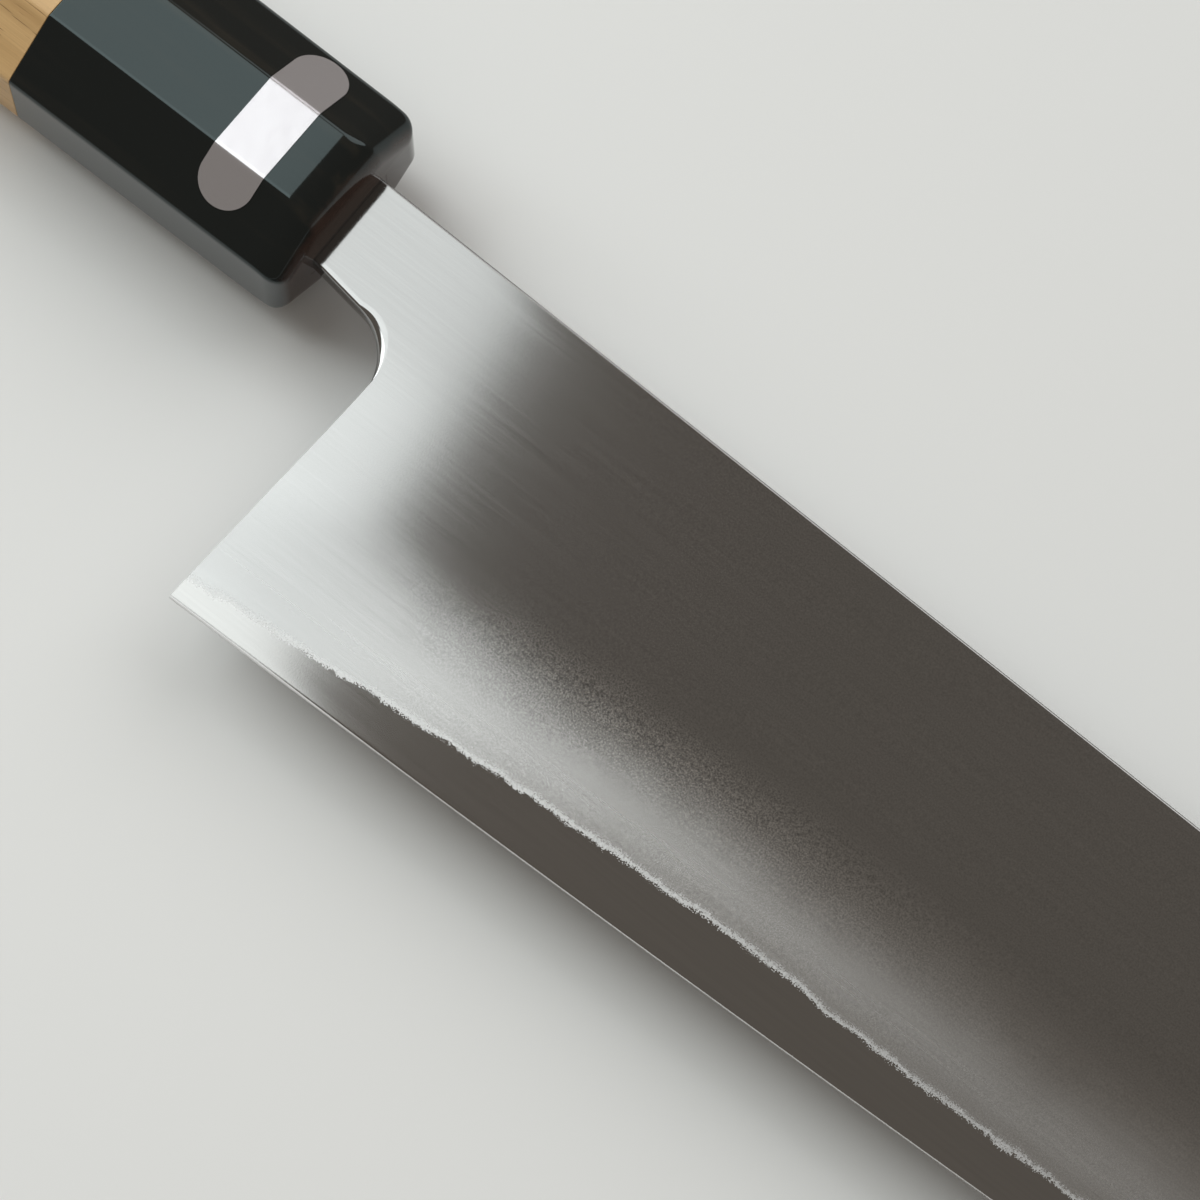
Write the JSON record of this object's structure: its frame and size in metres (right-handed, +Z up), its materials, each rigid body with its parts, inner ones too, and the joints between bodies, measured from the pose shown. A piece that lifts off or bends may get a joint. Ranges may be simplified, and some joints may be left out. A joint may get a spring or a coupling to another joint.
{
  "type": "slicing knife",
  "caption": "Long slicing knife lying on its side, with a laminated steel blade, faceted pale wood handle, black horn ferrule and a blank foil label.",
  "frame": {"origin": "bottom centre of the knife's bounding box, with the knife lying on its left side", "axes": "+X along the handle to the tip, +Y from the cutting edge to the spine, +Z up, square to the blade"},
  "size_m": [0.4256, 0.0482, 0.0182],
  "materials": {
    "core_steel": "dark satin carbon steel, bare along the edge",
    "cladding_steel": "fine sandblasted haze that fades to a polished mirror towards the middle",
    "horn": "polished black buffalo horn",
    "wood": "pale straight-grained wood, smooth and unlacquered",
    "resin": "dark brown resin",
    "foil": "blank satin foil"
  },
  "bodies": {
    "root": {"core_steel": "core_steel", "cladding_right": "cladding_steel", "cladding_left": "cladding_steel", "ferrule": "horn", "handle_body": "wood", "tang_bed": "resin", "label": "foil"}
  },
  "joints": []
}
